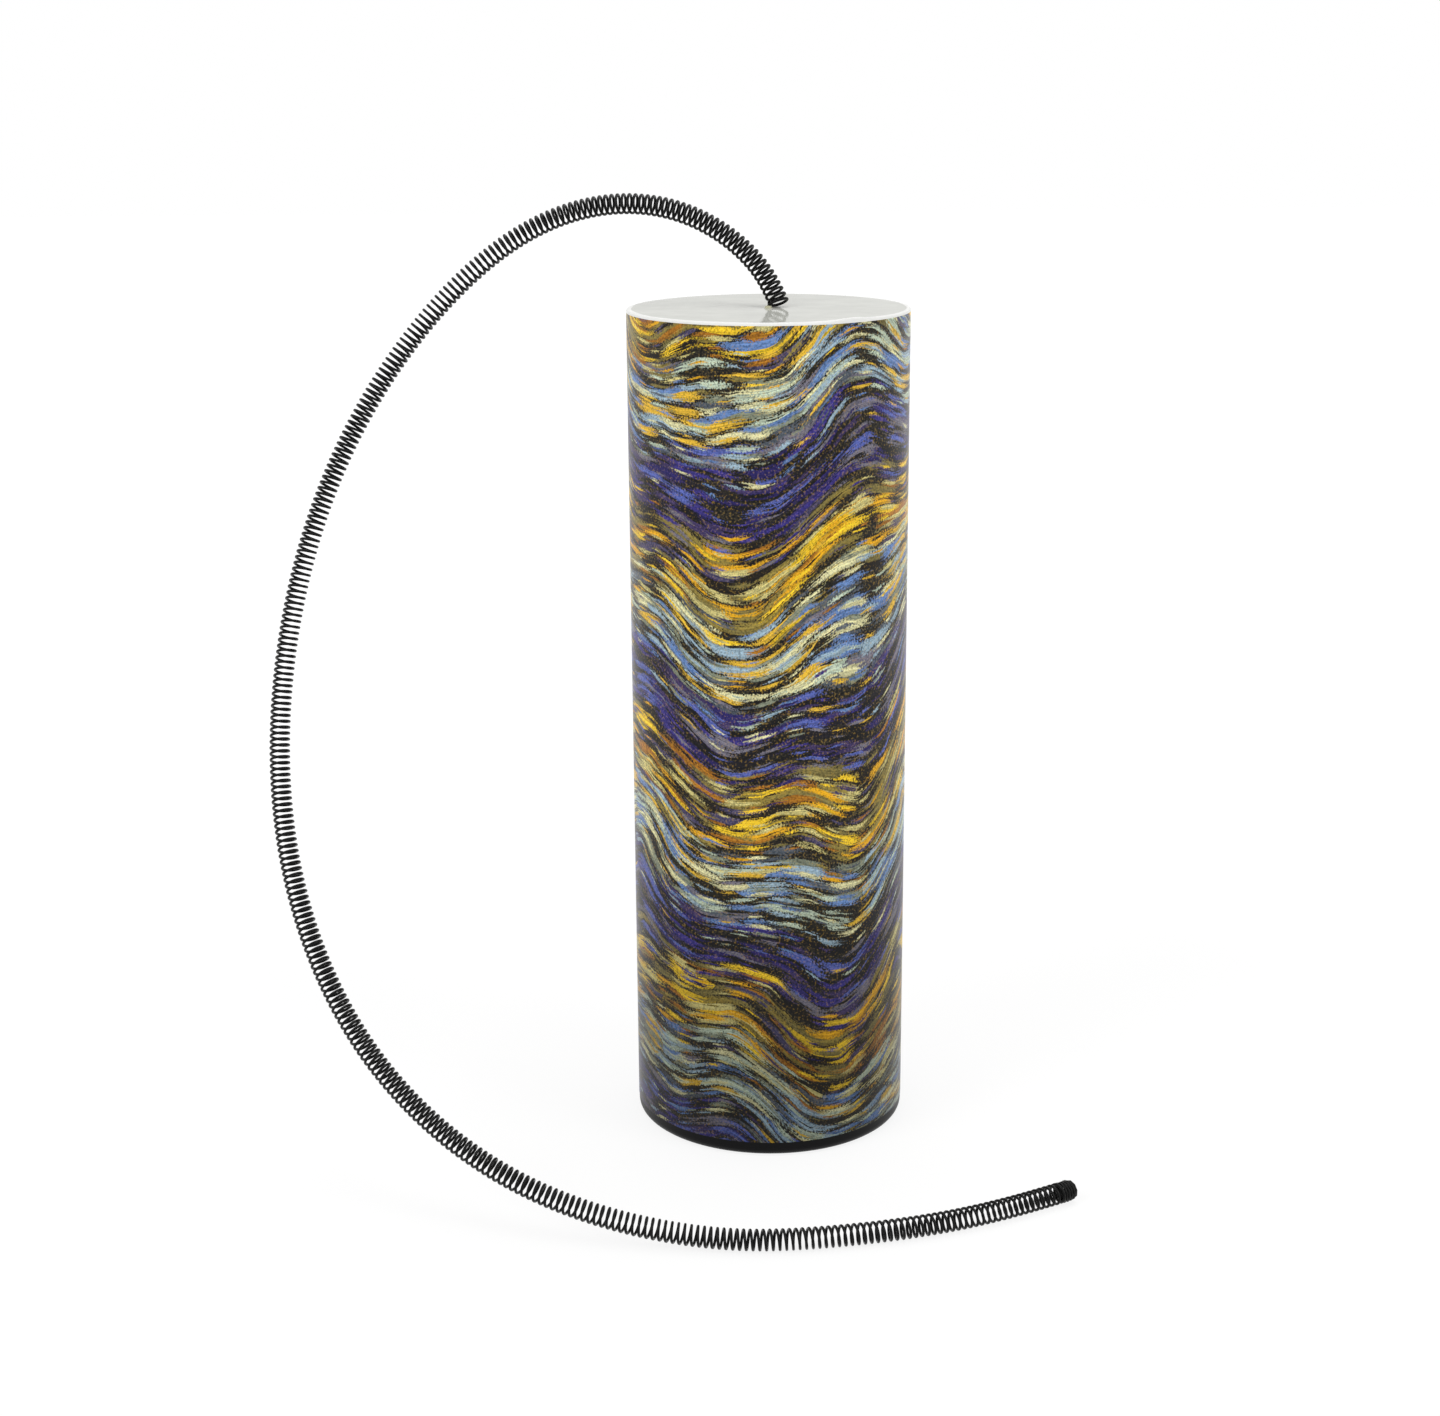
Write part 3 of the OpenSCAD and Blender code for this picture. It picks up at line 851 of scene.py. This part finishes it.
@dataclass
class Head:
    """The film drumhead and the drop of glue round the wire."""

    tube_radius: float = 29.5
    tube_height: float = 178.0
    wrap_radius: float = 29.25
    film: float = 0.25
    bend_height: float = 0.6
    bend_radius: float = 0.48
    skirt_depth: float = 8.0
    pinhole: float = 0.35
    dimple_depth: float = 0.12
    dimple_radius: float = 5.0
    # The rim's swelling: its height, where it lies in degrees, its width along the rim and its reach inwards
    swell_height: float = 0.5
    swell_angle: float = -56.0
    swell_width: float = 9.0
    swell_reach: float = 1.2
    # The film's mesh: steps round it, rings on its top, which crowd towards the rim, on its bend and below
    steps_round: int = 240
    top_rings: int = 24
    top_crowding: float = 0.8
    bend_rings: int = 8
    low_rings: int = 8
    crease_angle: float = 50.0
    # The drop: how deep it is sunk, how its dome rises, and its mesh
    bead_radius: float = 0.9
    bead_height: float = 0.4
    bead_sunk: float = 0.15
    bead_dome: float = 0.7
    bead_fill_share: float = 0.9
    bead_rings: int = 10
    bead_steps: int = 40
    # Each unevenness of the drop: times round it, share of its radius, and where it starts in radians
    bead_waves: tuple[tuple[int, float, float], ...] = ((2, 0.10, 0.6), (5, 0.05, 0.0))

    @property
    def wrap_top(self) -> float:
        """Height of the wrap's upper edge, where the film's bend ends, in millimetres."""
        return self.tube_height - self.bend_height

    def lift(self, r: float, z: float, a: float) -> float:
        """Rise of the film: drawn down a little by the spring, and swollen at one place of its rim.

        Args:
            r: Radius in millimetres.
            z: Height in millimetres.
            a: Angle in radians.

        Returns:
            The rise in millimetres.
        """
        if z <= self.wrap_top:
            return 0.0
        dimple = -self.dimple_depth * math.exp(-(r / self.dimple_radius) ** 2)
        away = (a - math.radians(self.swell_angle) + math.pi) % FULL_TURN - math.pi
        along = away * self.tube_radius / (self.swell_width / 2)
        near_rim = math.exp(-((self.tube_radius - r) / self.swell_reach) ** 2)
        return dimple + self.swell_height * math.exp(-along ** 2) * near_rim

    def build(self) -> list[Object]:
        """Builds the film and the glue drop.

        Returns:
            The pieces.
        """
        top, low = self.tube_height, self.tube_height - self.film
        wrap_top, skirt_low = self.wrap_top, self.wrap_top - self.skirt_depth
        flat_radius, skirt_inside = self.tube_radius - self.bend_radius, self.wrap_radius - self.film
        outline = [(self.pinhole, low), (self.pinhole, top)]
        for k in range(1, self.top_rings + 1):
            share = (k / self.top_rings) ** self.top_crowding
            outline.append((self.pinhole + (flat_radius - self.pinhole) * share, top))
        for a in np.linspace(0, math.pi / 2, self.bend_rings + 1)[1:]:
            outline.append((self.tube_radius - self.bend_radius * (1 - math.sin(a)),
                            top - self.bend_radius * (1 - math.cos(a))))
        outline += [(self.tube_radius, wrap_top), (self.wrap_radius, wrap_top), (self.wrap_radius, skirt_low),
                    (skirt_inside, skirt_low), (skirt_inside, low)]
        for k in range(self.low_rings - 1, 0, -1):
            outline.append((self.pinhole + (skirt_inside - self.pinhole) * k / self.low_rings, low))
        film = turned_mesh("drumhead_film", outline, self.steps_round, self.lift)
        film.data.materials.append(HEAD_FILM.dress())
        film.modifiers.new("edges", "EDGE_SPLIT").split_angle = math.radians(self.crease_angle)
        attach(film, Body.TUBE.value)
        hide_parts("drumhead")
        return [film, self.bead()]

    def bead(self) -> Object:
        """Builds the glue drop, a low uneven dome round the wire.

        Returns:
            The piece.
        """
        points = []
        for i in range(self.bead_rings + 1):
            share = i / self.bead_rings
            reach = (self.bead_radius - self.pinhole) * (1 - share) ** self.bead_dome
            rise = (self.bead_height + self.bead_sunk) * math.sin(share * math.pi / 2)
            z = self.tube_height - self.bead_sunk + rise
            for j in range(self.bead_steps):
                a = FULL_TURN * j / self.bead_steps
                waves = (size * math.sin(times * a + start) for times, size, start in self.bead_waves)
                r = self.pinhole + reach * sum(waves, 1) * self.bead_fill_share
                points.append((r * math.cos(a) * MM, r * math.sin(a) * MM, z * MM))
        bead = finished_mesh("glue_drop", np.array(points), closed_row(self.bead_rings + 1, self.bead_steps))
        bead.data.materials.append(BEAD_EPOXY.dress())
        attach(bead, Body.TUBE.value)
        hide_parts("glue_bead")
        return bead


@dataclass
class Tube:
    """The tube's pieces that stay the frame's own solids: shell, wrap, ring, stop washer and joint glue."""

    wrap: LaminatedPrint = field(default_factory=LaminatedPrint)

    def build(self) -> list[Object]:
        """Dresses the tube's solids.

        Returns:
            The frame's own objects.
        """
        finishes = {"printed_wrap": self.wrap, "shell_tube": KRAFT_BOARD, "end_ring": RING_PLASTIC,
                    "stop_washer": WASHER_FIBRE, "head_glue": JOINT_GLUE}
        dressed = []
        for name, finish in finishes.items():
            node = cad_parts[name]
            node.data.materials.clear()
            node.data.materials.append(finish.dress())
            dressed.append(node)
        return dressed


@dataclass
class Studio:
    """The white table, the soft lamps and the photograph's camera."""

    camera_place: tuple[float, float, float] = (-10.6, -506.4, 230.6)
    camera_pitch: float = 15.31
    camera_roll: float = -0.42
    camera_clip: tuple[float, float] = (0.02, 20.0)
    lens_mm: float = 60.585
    sensor_mm: float = 36.0
    # Each lamp: place in metres, size in metres, power in watts
    lamps: tuple[tuple[tuple[float, float, float], float, float], ...] = (
        ((-0.9, -0.7, 0.9), 0.7, 5.0),
        ((1.0, -0.6, 0.8), 0.7, 4.0),
        ((0.1, 0.3, 1.3), 0.9, 4.0),
    )
    lamp_aim: tuple[float, float, float] = (0.0, 0.0, 0.09)
    # How strongly the backdrop lights the object. Seen directly, it has a strength of 1, which is white
    sky_light: float = 0.45
    # The table: its size and its shadow's reach in metres, and how far it lies below the tube in millimetres
    floor_size: float = 6.0
    shadow_reach: float = 0.3
    floor_drop: float = 0.02
    # Its paper's white, and the paper's glow, of which a share shows near the object, where the shadow lies
    paper_white: float = 0.92
    paper_glow: float = 1.08
    near_glow_share: float = 0.78

    def build(self) -> None:
        """Sets up the view, the light and the floor."""
        bpy.context.scene.view_settings.view_transform = "Standard"
        self.place_camera()
        for number, (place, size, power) in enumerate(self.lamps, 1):
            lamp = bpy.data.lights.new(f"soft_lamp_{number}", "AREA")
            lamp.shape = "DISK"
            lamp.size = size
            lamp.energy = power
            holder = add_object(lamp.name, lamp)
            holder.location = place
            aim = Vector(self.lamp_aim) - Vector(place)
            holder.rotation_euler = aim.to_track_quat("-Z", "Y").to_euler()
        self.light_world()
        self.lay_floor()

    def place_camera(self) -> None:
        """Places the camera where the photograph was taken from."""
        camera = bpy.data.cameras.new("photo_camera")
        camera.sensor_width = self.sensor_mm
        camera.lens = self.lens_mm
        camera.clip_start, camera.clip_end = self.camera_clip
        pitch, roll = math.radians(self.camera_pitch), math.radians(self.camera_roll)
        ahead = Vector((0.0, math.cos(pitch), -math.sin(pitch)))
        right, up = Vector((1.0, 0.0, 0.0)), Vector((0.0, math.sin(pitch), math.cos(pitch)))
        tilted_right = right * math.cos(roll) + up * math.sin(roll)
        tilted_up = up * math.cos(roll) - right * math.sin(roll)
        turn = Matrix((tilted_right, tilted_up, -ahead)).transposed().to_4x4()
        holder = add_object("photo_camera", camera)
        holder.matrix_world = Matrix.Translation(Vector(self.camera_place) * MM) @ turn
        bpy.context.scene.camera = holder

    def seen_directly(self, tree: NodeTree) -> NodeSocket:
        """Tells rays that show the background from rays that light the object.

        Args:
            tree: The tree to add to.

        Returns:
            A socket that is 1 for camera, glossy and transmission rays.
        """
        rays = add_node(tree, "ShaderNodeLightPath").outputs
        seen = add_node(tree, MATH, [rays["Is Camera Ray"], rays["Is Glossy Ray"]], operation="MAXIMUM")
        return add_node(tree, MATH, [seen, rays["Is Transmission Ray"]], operation="MAXIMUM").outputs[0]

    def light_world(self) -> None:
        """Makes a white backdrop that lights the object softly from all round."""
        world = bpy.data.worlds.new("white_studio")
        world.use_nodes = True
        tree = world.node_tree
        tree.nodes.clear()
        direct = self.seen_directly(tree)
        strength = add_node(tree, MAP_RANGE, {0: direct, 3: self.sky_light, 4: 1.0})
        sky = add_node(tree, "ShaderNodeBackground", {"Color": (1.0, 1.0, 1.0, 1.0), "Strength": strength})
        add_node(tree, "ShaderNodeOutputWorld", {"Surface": sky})
        bpy.context.scene.world = world

    def lay_floor(self) -> None:
        """Lays a white table top that keeps a faint shadow."""
        half, low = self.floor_size / 2, -self.floor_drop * MM
        corners = [(x * half, y * half, low) for x, y in ((-1, -1), (1, -1), (1, 1), (-1, 1))]
        floor = finished_mesh("white_table", np.array(corners), [(0, 1, 2, 3)])
        material, tree = new_material("white_sweep_paper")
        white = self.paper_white
        paper = add_node(tree, "ShaderNodeBsdfDiffuse", {"Color": (white, white, white, 1.0)})
        glow = add_node(tree, "ShaderNodeEmission", {"Color": (1.0, 1.0, 1.0, 1.0),
                                                     "Strength": self.paper_glow})
        # Away from the object the paper sweeps up into the backdrop's white
        here = add_node(tree, "ShaderNodeTexCoord").outputs["Object"]
        away = add_node(tree, VECTOR_MATH, [here], operation="LENGTH").outputs["Value"]
        share = add_node(tree, MAP_RANGE, [away, self.shadow_reach / 2, self.shadow_reach,
                                                      self.near_glow_share, 1.0])
        amount = add_node(tree, MATH, [self.seen_directly(tree), share], operation="MULTIPLY")
        mixed = add_node(tree, "ShaderNodeMixShader", [amount, paper, glow])
        add_node(tree, "ShaderNodeOutputMaterial", {"Surface": mixed})
        floor.data.materials.append(material)


def main() -> None:
    """Builds the studio and each sub-assembly in order, and reports every piece."""
    logging.basicConfig(level=logging.INFO, format="%(message)s")
    Studio().build()
    for assembly in (Tube(), Head(), Spring()):
        for piece in assembly.build():
            LOG.info("%s: %s, %d faces", type(assembly).__name__, piece.name, len(piece.data.polygons))


if __name__ == "__main__":
    main()
